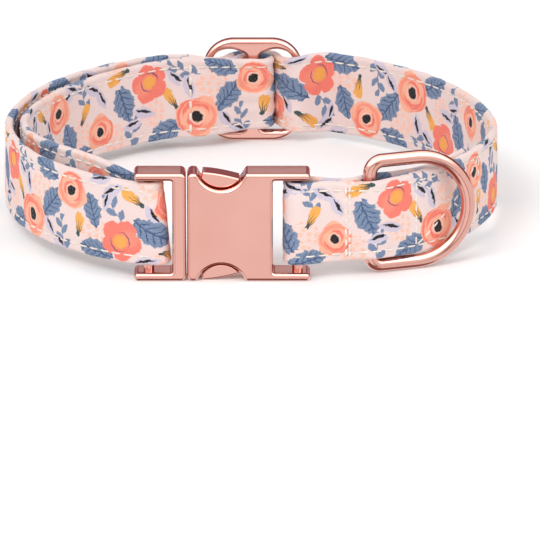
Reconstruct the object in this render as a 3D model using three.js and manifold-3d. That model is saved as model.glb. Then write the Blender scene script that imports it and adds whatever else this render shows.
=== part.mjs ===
// A pet collar, fastened and standing on its edge as a closed loop: one covered webbing strap,
// a two-part side-release buckle with two squeeze buttons, a D-ring and a three-bar slider.
// Millimetres, +Z up. The buckle is at the front (-Y), the slider at the back (+Y).
// Everything is laid out in the loop's own frame (X = 0 at the slider's centre bar, Z = 0 where
// the collar stands), and the last lines move the whole to the middle of its bounding box.
import * as THREE from 'three';
import { mergeVertices } from 'three/addons/utils/BufferGeometryUtils.js';
import Module from 'manifold-3d';

// ---- Strap ----
const STRAP_WIDTH = 24.6;
const STRAP_THICKNESS = 2.4;
const STRAP_CHAMFER = 0.6;
const STRAP_Z_FRONT = 16.8; // middle of the strap's width at the buckle
const STRAP_Z_BACK = 15.0; // and at the slider
const STRAP_STEP = 4.5; // longest step along the strap
const FOLD_RADIUS = 3.05; // strap centreline round a buckle bar

// ---- Buckle ----
const BUCKLE_HEIGHT = 32;
const BUCKLE_FRONT_Y = -55.6;
const BUCKLE_DEPTH = 8.7;
const RAIL = 2.3; // arms above and below the strap slots
const BEVEL = 0.8;
const ARM_END_RADIUS = 1.1;
const SHOULDER_RADIUS = 1.3;
const SLOT_RADIUS = 0.6;
const PLUG = { left: -33.3, mouth: -22.5, right: -18.7, bar: -29.2 };
const SOCKET = { left: -18.3, mouth: 5.9, right: 16.4, bar: 12.9 };
const BAR_RADIUS = 1.5;
const BAR_Y = -51.2;
const SCOOP = { x: -8.7, radius: 7.2, depth: 5.0 }; // finger scoops, top and bottom
const BUTTON = { left: -14.2, right: -3.6, depth: 5.8, proudLeft: 0, proudRight: -1.9, gap: 0.37 };
const STEM = { left: -10.6, right: -6.7, depth: 3.0, length: 3.2, clearance: 0.35 };

// ---- D-ring ----
const DRING = {
  barX: 33.4, barY: -47.5, middleZ: 17.6, leanDeg: 18,
  halfHeight: 15.5, cornerRadius: 3.5, straight: 14, radial: 2.0, across: 1.8,
};

// ---- Slider ----
const SLIDER = { y: 75.5, width: 29.3, height: 31.4, depth: 3.4, corner: 9.0, bevel: 0.5 };
const SLIDER_SLOT = { inner: 2.0, outer: 11.85, bottom: 3.0, shoulder: 26.8, peak: 28.6, corner: 3.5 };
const WRAP_RADIUS = 3.2; // strap centreline round the slider's centre bar

// The outer layer of the loop, seen from above: distance from (0, RING_CENTRE_Y) by direction.
const RING_CENTRE_Y = 12;
const RING = [
  { angle: -73.4, radius: 67.7 },
  { angle: -67.2, radius: 68.7 },
  { angle: -62.1, radius: 71.4 },
  { angle: -54.5, radius: 71.9 },
  { angle: -36.5, radius: 72.2 },
  { angle: -26, radius: 71.4 },
  { angle: -9.7, radius: 70.4 },
  { angle: 7, radius: 67.4 },
  { angle: 15.5, radius: 66.3 },
  { angle: 32, radius: 65.1 },
  { angle: 47, radius: 64.9 },
  { angle: 60, radius: 65.5 },
  { angle: 70.6, radius: 66.4 },
  { angle: 113, radius: 65.3 },
  { angle: 133, radius: 65.9 },
  { angle: 152, radius: 67.1 },
  { angle: 171, radius: 68.6 },
  { angle: 186, radius: 70.6 },
  { angle: 199, radius: 71.6 },
  { angle: 215.5, radius: 72.8 },
  { angle: 229, radius: 73.1 },
  { angle: 240, radius: 73.1 },
];

// The inner layer on the left side: how far inside the outer one it runs, and how much higher.
const INNER_LAYER = [
  { angle: 116, inset: 7.1, lift: 0.8 },
  { angle: 124, inset: 6.5, lift: 0.4 },
  { angle: 143, inset: 5.5, lift: -0.4 },
  { angle: 162, inset: 4.8, lift: -0.5 },
  { angle: 181, inset: 4.4, lift: 0.5 },
  { angle: 199, inset: 4.5, lift: 1.5 },
  { angle: 216, inset: 6.2, lift: 2.6 },
  { angle: 230, inset: 6.4, lift: 2.6 },
  { angle: 240, inset: 5.7, lift: 0.4 },
];

// The folded end on the right: sewn flat, round the D-ring's bar, and sewn flat again.
const FOLDED_LAYER = [
  { angle: -72.2, inset: 4.2, lift: 0 },
  { angle: -67.2, inset: 2.75, lift: 0 },
  { angle: -60.2, inset: 7.0, lift: 0 },
  { angle: -53.5, inset: 4.1, lift: 0 },
  { angle: -48.6, inset: 2.75, lift: 0 },
  { angle: -38, inset: 2.75, lift: 0 },
  { angle: -29, inset: 2.75, lift: 0 },
];

// The strap is drawn in a little round the D-ring's bar, so the ring's corners clear its edges.
const POCKET = { angle: -62, spread: 8, narrowing: 0.06 };

// The strap round the slider's centre bar and through its slots, in order along the strap.
// A pinch is the share of its width that the strap keeps where it is bunched in the slots.
const SEWN_END = [
  { x: -21.5, y: 67.8, lift: 0.8, pinch: 0.98 },
  { x: -16, y: 68.5, lift: 0.8, pinch: 0.97 },
  { x: -10.4, y: 69.9, lift: 0.5, pinch: 0.94 },
  { x: -6.2, y: 72.6, lift: 0.2, pinch: 0.9 },
  { x: -4.5, y: 76.2, lift: 0, pinch: 0.88 },
  { x: -1.8, y: 78.75, lift: 0, pinch: 0.88 },
];
const INNER_AT_SLIDER = [
  { x: -3.5, y: 71.7, lift: 0, pinch: 0.9 },
  { x: -8, y: 69.1, lift: 0.4, pinch: 0.94 },
  { x: -13.5, y: 66.6, lift: 0.8, pinch: 0.98 },
];
const OUTER_AT_SLIDER = [
  { x: -18, y: 71.7, lift: 0, pinch: 1 },
  { x: -12.6, y: 71.7, lift: 0, pinch: 0.93 },
  { x: -8.2, y: 75.0, lift: 0, pinch: 0.9 },
  { x: -5.3, y: 79.4, lift: 0, pinch: 0.9 },
  { x: 0.4, y: 81.6, lift: 0, pinch: 0.9 },
  { x: 6.2, y: 79.6, lift: 0, pinch: 0.9 },
  { x: 8.4, y: 75.2, lift: 0, pinch: 0.89 },
  { x: 12.8, y: 71.5, lift: 0, pinch: 0.95 },
  { x: 17.5, y: 73.3, lift: 0, pinch: 1 },
];

const wasm = await Module();
wasm.setup();

const degrees = (angle) => (angle * Math.PI) / 180;

// ---- Solids ----

function toManifold(geometry) {
  const bare = geometry.clone();
  bare.deleteAttribute('normal');
  bare.deleteAttribute('uv');
  const merged = mergeVertices(bare, 1e-4);
  return new wasm.Manifold(new wasm.Mesh({
    numProp: 3,
    vertProperties: merged.attributes.position.array,
    triVerts: Uint32Array.from(merged.index.array),
  }));
}

function toGeometry(manifold) {
  const mesh = manifold.getMesh();
  const geometry = new THREE.BufferGeometry();
  geometry.setAttribute('position', new THREE.BufferAttribute(mesh.vertProperties, 3));
  geometry.setIndex(new THREE.BufferAttribute(mesh.triVerts, 1));
  geometry.computeVertexNormals();
  return geometry;
}

// A section swept through rows of { centre, across, up }, where across x up points along the path.
function sweep(rows, section, closed) {
  const positions = [];
  for (const row of rows) {
    for (const [u, v] of section(row)) {
      const point = row.centre.clone().addScaledVector(row.across, u).addScaledVector(row.up, v);
      positions.push(point.x, point.y, point.z);
    }
  }
  const sides = positions.length / 3 / rows.length;
  const index = [];
  const spans = closed ? rows.length : rows.length - 1;
  for (let row = 0; row < spans; row++) {
    const here = row * sides;
    const next = ((row + 1) % rows.length) * sides;
    for (let side = 0; side < sides; side++) {
      const turn = (side + 1) % sides;
      index.push(here + side, here + turn, next + turn);
      index.push(here + side, next + turn, next + side);
    }
  }
  if (!closed) {
    const last = (rows.length - 1) * sides;
    for (let side = 1; side < sides - 1; side++) {
      index.push(0, side + 1, side);
      index.push(last, last + side, last + side + 1);
    }
  }
  const geometry = new THREE.BufferGeometry();
  geometry.setAttribute('position', new THREE.Float32BufferAttribute(positions, 3));
  geometry.setIndex(index);
  geometry.computeVertexNormals();
  return geometry;
}

// An outline in X and Z, pushed through from its front Y to its back Y with rounded edges.
function plate(shape, frontY, depth, bevel) {
  const geometry = new THREE.ExtrudeGeometry(shape, {
    depth: depth - 2 * bevel,
    bevelEnabled: bevel > 0,
    bevelThickness: bevel,
    bevelSize: bevel,
    bevelOffset: -bevel,
    bevelSegments: 2,
    curveSegments: 8,
  });
  geometry.rotateX(Math.PI / 2);
  geometry.translate(0, frontY + depth - bevel, 0);
  return geometry;
}

// A closed path through corners of { x, z, r }, each turned with radius r.
const ROUND = 0.5523; // makes a Bezier turn follow a quarter circle
function tracePath(path, corners) {
  corners.forEach((corner, i) => {
    const before = corners[(i + corners.length - 1) % corners.length];
    const after = corners[(i + 1) % corners.length];
    const here = new THREE.Vector2(corner.x, corner.z);
    const back = new THREE.Vector2(before.x, before.z).sub(here).normalize();
    const ahead = new THREE.Vector2(after.x, after.z).sub(here).normalize();
    const start = here.clone().addScaledVector(back, corner.r);
    const end = here.clone().addScaledVector(ahead, corner.r);
    if (i === 0) path.moveTo(start.x, start.y);
    else path.lineTo(start.x, start.y);
    const leave = start.clone().lerp(here, ROUND);
    const arrive = end.clone().lerp(here, ROUND);
    path.bezierCurveTo(leave.x, leave.y, arrive.x, arrive.y, end.x, end.y);
  });
  path.closePath();
  return path;
}

function upright(radius, x, y, bottom, top, sides) {
  const geometry = new THREE.CylinderGeometry(radius, radius, top - bottom, sides);
  geometry.rotateX(Math.PI / 2);
  geometry.translate(x, y, (top + bottom) / 2);
  return geometry;
}

// ---- Strap route ----

// A smooth value between the rows of a table, by its angle column.
function tableValue(rows, column, angle) {
  let i = 0;
  while (i < rows.length - 2 && rows[i + 1].angle < angle) i++;
  const [a, b] = [rows[i], rows[i + 1]];
  const slope = (row) => {
    const low = rows[Math.max(row - 1, 0)];
    const high = rows[Math.min(row + 1, rows.length - 1)];
    return (high[column] - low[column]) / (high.angle - low.angle);
  };
  const span = b.angle - a.angle;
  const t = THREE.MathUtils.clamp((angle - a.angle) / span, 0, 1);
  const rise = t * t * (3 - 2 * t);
  return a[column] * (1 - rise) + b[column] * rise
    + slope(i) * span * t * (1 - t) ** 2 - slope(i + 1) * span * t * t * (1 - t);
}

function ringPoint(angle, inset, lift) {
  const radius = tableValue(RING, 'radius', angle) - inset;
  const nearPocket = Math.exp(-(((angle - POCKET.angle) / POCKET.spread) ** 2));
  return {
    x: radius * Math.cos(degrees(angle)),
    y: RING_CENTRE_Y + radius * Math.sin(degrees(angle)),
    lift,
    pinch: 1 - POCKET.narrowing * nearPocket,
  };
}

// Points of one layer of the loop from one direction to another, either way round.
function ringRun(from, to, layer) {
  const count = Math.max(Math.round(Math.abs(to - from) / 4), 1);
  return Array.from({ length: count + 1 }, (_, i) => {
    const angle = from + ((to - from) * i) / count;
    const inset = layer ? tableValue(layer, 'inset', angle) : 0;
    const lift = layer ? tableValue(layer, 'lift', angle) : 0;
    return ringPoint(angle, inset, lift);
  });
}

function arcRun(x, y, radius, from, to, pinch) {
  const count = Math.round(Math.abs(to - from) / 24);
  return Array.from({ length: count + 1 }, (_, i) => {
    const angle = degrees(from + ((to - from) * i) / count);
    return { x: x + radius * Math.cos(angle), y: y + radius * Math.sin(angle), lift: 0, pinch };
  });
}

function strapRoute() {
  return [
    ...SEWN_END,
    ...arcRun(SLIDER_SLOT.inner, SLIDER.y, WRAP_RADIUS, 90, -90, 0.88),
    ...INNER_AT_SLIDER,
    ...ringRun(116, 240, INNER_LAYER),
    ...arcRun(PLUG.bar, BAR_Y, FOLD_RADIUS, 90, -90, 1),
    ...ringRun(240, 113, null),
    ...OUTER_AT_SLIDER,
    ...ringRun(70.6, -73.4, null),
    ...arcRun(SOCKET.bar, BAR_Y, FOLD_RADIUS, 270, 90, 1),
    ...ringRun(-72.2, -29, FOLDED_LAYER),
  ];
}

// The route as finer rows for the sweep, each at the height that the standing collar has there.
function strapRows() {
  const route = strapRoute();
  const line = new THREE.CatmullRomCurve3(
    route.map((point) => new THREE.Vector3(point.x, point.y, point.lift)), false, 'centripetal');
  const rows = [];
  for (let i = 0; i < route.length - 1; i++) {
    const [a, b] = [route[i], route[i + 1]];
    const steps = Math.ceil(Math.hypot(b.x - a.x, b.y - a.y) / STRAP_STEP);
    const last = i === route.length - 2 ? 1 : 0;
    for (let k = 0; k < steps + last; k++) {
      const share = k / steps;
      const t = (i + share) / (route.length - 1);
      const point = line.getPoint(t);
      const along = line.getTangent(t).setZ(0).normalize();
      const height = THREE.MathUtils.mapLinear(point.y, BAR_Y, SLIDER.y, STRAP_Z_FRONT, STRAP_Z_BACK);
      rows.push({
        centre: new THREE.Vector3(point.x, point.y, height + point.z),
        across: new THREE.Vector3(-along.y, along.x, 0),
        up: new THREE.Vector3(0, 0, 1),
        pinch: THREE.MathUtils.lerp(a.pinch, b.pinch, share),
      });
    }
  }
  return rows;
}

function strapSection(row) {
  const u = STRAP_THICKNESS / 2;
  const v = (STRAP_WIDTH / 2) * row.pinch;
  const c = STRAP_CHAMFER;
  return [
    [u, c - v], [u, v - c], [u - c, v], [c - u, v],
    [-u, v - c], [-u, c - v], [c - u, -v], [u - c, -v],
  ];
}

// ---- Metal pieces ----

function plugGeometry() {
  const top = BUCKLE_HEIGHT;
  const outline = tracePath(new THREE.Shape(), [
    { x: PLUG.left, z: 0, r: ARM_END_RADIUS },
    { x: PLUG.right, z: 0, r: SHOULDER_RADIUS },
    { x: PLUG.right, z: top, r: SHOULDER_RADIUS },
    { x: PLUG.left, z: top, r: ARM_END_RADIUS },
    { x: PLUG.left, z: top - RAIL, r: ARM_END_RADIUS },
    { x: PLUG.mouth, z: top - RAIL, r: SLOT_RADIUS },
    { x: PLUG.mouth, z: RAIL, r: SLOT_RADIUS },
    { x: PLUG.left, z: RAIL, r: ARM_END_RADIUS },
  ]);
  const frame = toManifold(plate(outline, BUCKLE_FRONT_Y, BUCKLE_DEPTH, BEVEL));
  const bar = toManifold(upright(BAR_RADIUS, PLUG.bar, BAR_Y, RAIL / 2, top - RAIL / 2, 16));
  return toGeometry(frame.add(bar));
}

function scoopCutter(side) {
  const middle = BUCKLE_HEIGHT / 2;
  const centreZ = middle + side * (middle - SCOOP.depth + SCOOP.radius);
  const cutter = new THREE.CylinderGeometry(SCOOP.radius, SCOOP.radius, 2 * BUCKLE_DEPTH, 40);
  cutter.translate(SCOOP.x, BAR_Y, centreZ);
  return toManifold(cutter);
}

function stemBlock(side, clearance) {
  const middle = BUCKLE_HEIGHT / 2;
  const floor = middle - SCOOP.depth;
  const low = floor - STEM.length + 0.6 - clearance;
  const high = floor + 1.2;
  const block = new THREE.BoxGeometry(
    STEM.right - STEM.left + 2 * clearance, STEM.depth + 2 * clearance, high - low);
  block.translate((STEM.left + STEM.right) / 2, BAR_Y, middle + (side * (low + high)) / 2);
  return toManifold(block);
}

function socketGeometry() {
  const top = BUCKLE_HEIGHT;
  const outline = tracePath(new THREE.Shape(), [
    { x: SOCKET.left, z: 0, r: SHOULDER_RADIUS },
    { x: SOCKET.right, z: 0, r: ARM_END_RADIUS },
    { x: SOCKET.right, z: RAIL, r: ARM_END_RADIUS },
    { x: SOCKET.mouth, z: RAIL, r: SLOT_RADIUS },
    { x: SOCKET.mouth, z: top - RAIL, r: SLOT_RADIUS },
    { x: SOCKET.right, z: top - RAIL, r: ARM_END_RADIUS },
    { x: SOCKET.right, z: top, r: ARM_END_RADIUS },
    { x: SOCKET.left, z: top, r: SHOULDER_RADIUS },
  ]);
  let solid = toManifold(plate(outline, BUCKLE_FRONT_Y, BUCKLE_DEPTH, BEVEL));
  solid = solid.add(toManifold(upright(BAR_RADIUS, SOCKET.bar, BAR_Y, RAIL / 2, top - RAIL / 2, 16)));
  for (const side of [1, -1]) {
    solid = solid.subtract(scoopCutter(side)).subtract(stemBlock(side, STEM.clearance));
  }
  return toGeometry(solid);
}

// A leaf-shaped squeeze button in its scoop, with the stem that joins it to the latch arm.
function buttonGeometry(side) {
  const middle = BUCKLE_HEIGHT / 2;
  const centreZ = middle - SCOOP.depth + SCOOP.radius;
  const radius = SCOOP.radius - BUTTON.gap;
  const span = BUTTON.right - BUTTON.left;
  const points = [];
  for (let i = 0; i <= 10; i++) {
    const x = BUTTON.left + (span * i) / 10;
    points.push([x, centreZ - Math.sqrt(radius ** 2 - (x - SCOOP.x) ** 2)]);
  }
  for (let i = 10; i >= 0; i--) {
    const share = i / 10;
    const proud = THREE.MathUtils.lerp(BUTTON.proudLeft, BUTTON.proudRight, share ** 1.6);
    points.push([BUTTON.left + 0.2 + (span - 0.2) * share, middle + proud]);
  }
  const shape = new THREE.Shape(points.map(([x, z]) => new THREE.Vector2(x, middle + side * z)));
  const body = plate(shape, BAR_Y - BUTTON.depth / 2, BUTTON.depth, 0);
  return toGeometry(toManifold(body).add(stemBlock(side, 0)));
}

// The D's centreline, from the foot of its bar up and round, as rows for a closed sweep.
function dRingGeometry() {
  const { halfHeight, cornerRadius, straight, leanDeg } = DRING;
  const reach = new THREE.Vector3(Math.cos(degrees(leanDeg)), Math.sin(degrees(leanDeg)), 0);
  const rise = new THREE.Vector3(0, 0, 1);
  const origin = new THREE.Vector3(DRING.barX, DRING.barY, DRING.middleZ);
  const rows = [];
  const addArc = (u, v, radius, from, to, steps) => {
    for (let i = 0; i <= steps; i++) {
      const angle = degrees(from + ((to - from) * i) / steps);
      const outward = reach.clone().multiplyScalar(Math.cos(angle))
        .addScaledVector(rise, Math.sin(angle));
      const centre = origin.clone().addScaledVector(reach, u).addScaledVector(rise, v)
        .addScaledVector(outward, radius);
      rows.push({ centre, across: outward, up: reach.clone().cross(rise) });
    }
  };
  addArc(straight, 0, halfHeight, 90, -90, 22);
  addArc(cornerRadius, cornerRadius - halfHeight, cornerRadius, -90, -180, 5);
  addArc(cornerRadius, halfHeight - cornerRadius, cornerRadius, 180, 90, 5);
  const section = () => Array.from({ length: 12 }, (_, i) => {
    const angle = (i * Math.PI) / 6;
    return [DRING.radial * Math.cos(angle), DRING.across * Math.sin(angle)];
  });
  return sweep(rows, section, true);
}

function sliderGeometry() {
  const half = SLIDER.width / 2;
  const outline = tracePath(new THREE.Shape(), [
    { x: -half, z: 0, r: SLIDER.corner },
    { x: half, z: 0, r: SLIDER.corner },
    { x: half, z: SLIDER.height, r: SLIDER.corner },
    { x: -half, z: SLIDER.height, r: SLIDER.corner },
  ]);
  for (const side of [-1, 1]) {
    const { inner, outer, bottom, shoulder, peak, corner } = SLIDER_SLOT;
    outline.holes.push(tracePath(new THREE.Path(), [
      { x: side * inner, z: bottom, r: corner / 2 },
      { x: side * outer, z: bottom, r: corner },
      { x: side * outer, z: shoulder, r: corner },
      { x: (side * (inner + outer)) / 2, z: peak, r: 2 },
      { x: side * inner, z: shoulder, r: corner / 2 },
    ]));
  }
  return plate(outline, SLIDER.y - SLIDER.depth / 2, SLIDER.depth, SLIDER.bevel);
}

// ---- Assembly ----

const cloth = new THREE.MeshStandardMaterial({ color: '#f3dad6', roughness: 0.9, metalness: 0 });
const roseGold = new THREE.MeshStandardMaterial({ color: '#e6a998', roughness: 0.25, metalness: 1 });

const collar = new THREE.Group();

function addPiece(name, geometry, material) {
  const piece = new THREE.Mesh(geometry, material.clone());
  piece.name = name;
  collar.add(piece);
}

addPiece('strap', sweep(strapRows(), strapSection, false), cloth);
addPiece('buckle_plug', plugGeometry(), roseGold);
addPiece('buckle_socket', socketGeometry(), roseGold);
addPiece('release_button_top', buttonGeometry(1), roseGold);
addPiece('release_button_bottom', buttonGeometry(-1), roseGold);
addPiece('d_ring', dRingGeometry(), roseGold);
addPiece('slider', sliderGeometry(), roseGold);

const box = new THREE.Box3().setFromObject(collar, true);
const middle = box.getCenter(new THREE.Vector3());
collar.position.set(-middle.x, -middle.y, -box.min.z);

export default collar;
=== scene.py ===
import math

import bmesh
import bpy
import numpy as np
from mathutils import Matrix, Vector, noise


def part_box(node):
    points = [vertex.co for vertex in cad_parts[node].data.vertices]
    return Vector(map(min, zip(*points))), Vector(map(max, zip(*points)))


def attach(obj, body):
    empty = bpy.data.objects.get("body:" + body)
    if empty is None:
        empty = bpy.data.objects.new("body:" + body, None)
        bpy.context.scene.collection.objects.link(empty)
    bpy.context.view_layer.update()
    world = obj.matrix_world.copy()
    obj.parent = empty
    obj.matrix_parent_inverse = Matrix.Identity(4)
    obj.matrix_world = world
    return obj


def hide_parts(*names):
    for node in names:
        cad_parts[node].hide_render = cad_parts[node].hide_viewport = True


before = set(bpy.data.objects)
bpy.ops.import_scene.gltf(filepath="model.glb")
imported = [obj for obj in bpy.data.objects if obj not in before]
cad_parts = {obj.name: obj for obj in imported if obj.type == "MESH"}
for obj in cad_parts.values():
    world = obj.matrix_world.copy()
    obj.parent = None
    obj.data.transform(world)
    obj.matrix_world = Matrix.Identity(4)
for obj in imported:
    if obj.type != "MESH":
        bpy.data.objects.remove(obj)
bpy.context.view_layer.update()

# Lengths below are in millimetres in the loop's own frame: X = 0 at the slider's centre bar,
# Z = 0 on the floor. place() turns them into the row's metres.
MM = 0.001
SLIDER_Y = 75.5
slider_low, slider_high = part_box("slider")
LOOP_ORIGIN = np.array([
    (slider_low.x + slider_high.x) / 2,
    (slider_low.y + slider_high.y) / 2 - SLIDER_Y * MM,
    0.0,
])


def place(points):
    return LOOP_ORIGIN + np.asarray(points, float) * MM


# ---- Driving sizes, as in the part's source ----
STRAP_WIDTH = 24.6
STRAP_THICKNESS = 2.4
STRAP_Z_FRONT = 16.8
STRAP_Z_BACK = 15.0
FOLD_RADIUS = 3.05
BUCKLE_HEIGHT = 32.0
BUCKLE_FRONT_Y = -55.6
BUCKLE_DEPTH = 8.7
RAIL = 2.3
PLUG = {"left": -33.3, "mouth": -22.5, "right": -18.7, "bar": -29.2}
SOCKET = {"left": -18.3, "mouth": 5.9, "right": 16.4, "bar": 12.9}
BAR_RADIUS = 1.5
BAR_Y = -51.2
SCOOP = {"x": -8.7, "radius": 7.2, "depth": 5.0}
BUTTON = {"left": -14.2, "right": -3.6, "depth": 5.8, "gap": 0.37, "tip": 0.25}
BUTTON_TOP = {"slant": 1.9, "curve": 1.6}
DRING = {"x": 33.4, "y": -47.5, "z": 17.6, "lean": 18.0, "half": 15.5, "corner": 3.5, "straight": 14.0}
DRING_WIRE = (2.0, 1.8)  # half its thickness in the ring's plane and across it
SLIDER = {"width": 29.3, "height": 31.4, "depth": 3.4, "corner": 9}
SLIDER_SLOT = {"inner": 2.0, "outer": 11.85, "bottom": 3.0, "shoulder": 26.8, "peak": 28.6}
WRAP_RADIUS = 3.2
WRAP_PINCH = 0.88
RING_CENTRE_Y = 12.0

# Roundings of the render, in places larger than the part's
ARM_END_RADIUS = 1.12
SHOULDER_RADIUS = 1.6
SLOT_RADIUS = 0.7
LIP_RADIUS = 0.9
SLIDER_CORNER = {"inner": 1.75, "outer": 3.5, "peak": 6.0}
EDGE_ROUNDING = {"buckle": 1.05, "button": 0.6, "slider": 1.2}

# The outer layer seen from above: direction in degrees, distance from (0, RING_CENTRE_Y).
RING = np.array([
    (-73.4, 67.7), (-67.2, 68.7), (-62.1, 71.4), (-54.5, 71.9), (-36.5, 72.2), (-26, 71.4),
    (-9.7, 70.4), (7, 67.4), (15.5, 66.3), (32, 65.1), (47, 64.9), (60, 65.5), (70.6, 66.4),
    (113, 65.3), (133, 65.9), (152, 67.1), (171, 68.6), (186, 70.6), (199, 71.6),
    (215.5, 72.8), (229, 73.1), (240, 73.1),
])
# Direction, how far inside the outer layer, how much higher.
INNER_LAYER = np.array([
    (116, 7.1, 0.8), (124, 6.5, 0.4), (143, 5.5, -0.4), (162, 4.8, -0.5), (181, 4.4, 0.5),
    (199, 4.5, 1.5), (216, 6.2, 2.6), (230, 6.4, 2.6), (240, 5.7, 0.4),
])
FOLDED_LAYER = np.array([
    (-72.2, 4.2, 0), (-67.2, 2.75, 0), (-60.2, 7.0, 0), (-53.5, 4.1, 0), (-48.6, 2.75, 0),
    (-38, 2.75, 0), (-29, 2.75, 0),
])
# Round the slider: x, y, lift, share of the width kept where the strap is bunched.
SEWN_END = [
    (-21.5, 67.8, 0.8, 0.98), (-16, 68.5, 0.8, 0.97), (-10.4, 69.9, 0.5, 0.94),
    (-6.2, 72.6, 0.2, 0.9), (-4.5, 76.2, 0, 0.88), (-1.8, 78.75, 0, 0.88),
]
INNER_AT_SLIDER = [(-3.5, 71.7, 0, 0.9), (-8, 69.1, 0.4, 0.94), (-13.5, 66.6, 0.8, 0.98)]
OUTER_AT_SLIDER = [
    (-18, 71.7, 0, 1), (-12.6, 71.7, 0, 0.93), (-8.2, 75.0, 0, 0.9), (-5.3, 79.4, 0, 0.9),
    (0.4, 81.6, 0, 0.9), (6.2, 79.6, 0, 0.9), (8.4, 75.2, 0, 0.89), (12.8, 71.5, 0, 0.95),
    (17.5, 73.3, 0, 1),
]
POCKET = {"angle": -62.0, "spread": 8.0, "narrowing": 0.06}
# The plug's fold reaches further across the slot at its lower edge than at its upper edge.
PLUG_FOLD = {"reach": 1.1, "skew": 1.15, "runs": 0.7, "fade": 3, "fade_over": 4}

# ---- Seams ----
STITCH_INSET = 2.6  # edge rows, from the strap's edges
STITCH_PITCH = 3.8
STITCH_LENGTH = 3.0
THREAD_RADIUS = 0.27
ROW_MARGIN = 1.5  # the edge rows stop this far from the strap's ends
TACK_MARGIN = 1.2  # tacks stop this far from the strap's edges
SEWN_TACK = {"x": -19.0, "radius": 0.45, "pitch": 3.4, "stitch": 2.9}
RING_TACK = {"x": 26.6, "radius": 0.34}
# Its two rows: where each starts and ends from x, pitch, stitch length.
RING_TACK_ROWS = [(-0.62, -0.5, 2.2, 1.95), (0.45, 0.6, 2.9, 2.5)]
# The crossed box behind the D-ring, on the outer layer and on the folded end.
BOX = {"front": 46.2, "back": 63.5, "folded_front": 44.4, "end_margin": 2.0}
BOX_STITCH = {"pitch": 3.2, "length": 2.6}
STITCH_SINK = 0.12  # how far a stitch lies below the plain face in a sewn groove
STITCH_PROUD = 0.08  # how far above it elsewhere

# ---- Relief of the cloth ----
SEAM_GROOVE = {"depth": 0.36, "width": 0.7}
SEAM_PUCKER = {"height": 0.15, "width": 1.7, "side_shift": 0.6}
CROWN = 0.12
FACE_SINK = 0.06
BUNCHING = {"height": 1.6, "waves": 1.15}
# Soft waves: height, waves to the millimetre, seed.
FACE_WAVES = [(0.14, 0.10, 3.0), (0.08, 0.38, 9.0)]
EDGE_WAVES = (0.22, 0.16, 21.0)
WIDTH_WAVES = (0.12, 0.3, 5.0)

HALF = STRAP_WIDTH / 2
THICK = STRAP_THICKNESS / 2
EDGE_CENTRE = HALF - THICK
STITCH_V = HALF - STITCH_INSET


# ---- Strap route ----

def table_value(table, column, angle):
    """A smooth value between the rows of a table, by its first column."""
    angles, values = table[:, 0], table[:, column]
    slopes = np.gradient(values, angles)
    i = int(np.clip(np.searchsorted(angles, angle) - 1, 0, len(angles) - 2))
    span = angles[i + 1] - angles[i]
    t = min(max((angle - angles[i]) / span, 0), 1)
    rise = t * t * (3 - 2 * t)
    return (
        values[i] * (1 - rise) + values[i + 1] * rise
        + slopes[i] * span * t * (1 - t) ** 2 - slopes[i + 1] * span * t * t * (1 - t)
    )


def ring_run(start, stop, layer=None):
    """Points of one layer of the loop from one direction to another: x, y, lift, pinch."""
    degrees_a_step = 4
    steps = max(round(abs(stop - start) / degrees_a_step), 1)
    points = []
    for angle in np.linspace(start, stop, steps + 1):
        inset = table_value(layer, 1, angle) if layer is not None else 0
        lift = table_value(layer, 2, angle) if layer is not None else 0
        radius = table_value(RING, 1, angle) - inset
        near_pocket = math.exp(-(((angle - POCKET["angle"]) / POCKET["spread"]) ** 2))
        points.append((
            radius * math.cos(math.radians(angle)),
            RING_CENTRE_Y + radius * math.sin(math.radians(angle)),
            lift,
            1 - POCKET["narrowing"] * near_pocket,
        ))
    return points


def arc_run(x, y, radius, start, stop, pinch=1.0):
    """Points round an arc: x, y, lift, pinch."""
    degrees_a_step = 20
    points = []
    for angle in np.radians(np.linspace(start, stop, round(abs(stop - start) / degrees_a_step) + 1)):
        points.append((x + radius * math.cos(angle), y + radius * math.sin(angle), 0, pinch))
    return points


# The strap from its sewn end to its folded end, in named runs.
ROUTE = [
    ("sewn_end", SEWN_END),
    ("wrap", arc_run(SLIDER_SLOT["inner"], SLIDER_Y, WRAP_RADIUS, 90, -90, WRAP_PINCH)),
    ("inner", INNER_AT_SLIDER + ring_run(116, 240, INNER_LAYER)),
    ("plug_fold", arc_run(PLUG["bar"] + PLUG_FOLD["reach"], BAR_Y, FOLD_RADIUS, 90, -90)),
    ("left", ring_run(240, 113)),
    ("slider", OUTER_AT_SLIDER),
    ("right", ring_run(70.6, -73.4)),
    ("socket_fold", arc_run(SOCKET["bar"], BAR_Y, FOLD_RADIUS, 270, 90)),
    ("folded", ring_run(-72.2, -29, FOLDED_LAYER)),
]


def blend(p0, p1, t0, t1, t):
    """The value at t on the straight line from p0 at t0 to p1 at t1."""
    return (t1 - t) / (t1 - t0) * p0 + (t - t0) / (t1 - t0) * p1


def smooth_line(points, fine=12):
    """A centripetal Catmull-Rom line through rows of numbers, the first two being x and y."""
    padded = np.vstack([2 * points[0] - points[1], points, 2 * points[-1] - points[-2]])
    gaps = np.sqrt(np.linalg.norm(np.diff(padded[:, :2], axis=0), axis=1))
    knots = np.concatenate([[0], np.cumsum(gaps)])
    line = []
    for i in range(1, len(padded) - 2):
        t0, t1, t2, t3 = knots[i - 1:i + 3]
        p0, p1, p2, p3 = padded[i - 1:i + 3]
        for t in np.linspace(t1, t2, fine, endpoint=False):
            a1 = blend(p0, p1, t0, t1, t)
            a2 = blend(p1, p2, t1, t2, t)
            a3 = blend(p2, p3, t2, t3, t)
            b1 = blend(a1, a2, t0, t2, t)
            b2 = blend(a2, a3, t1, t3, t)
            line.append(blend(b1, b2, t1, t2, t))
    line.append(points[-1])
    return np.array(line)


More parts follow.
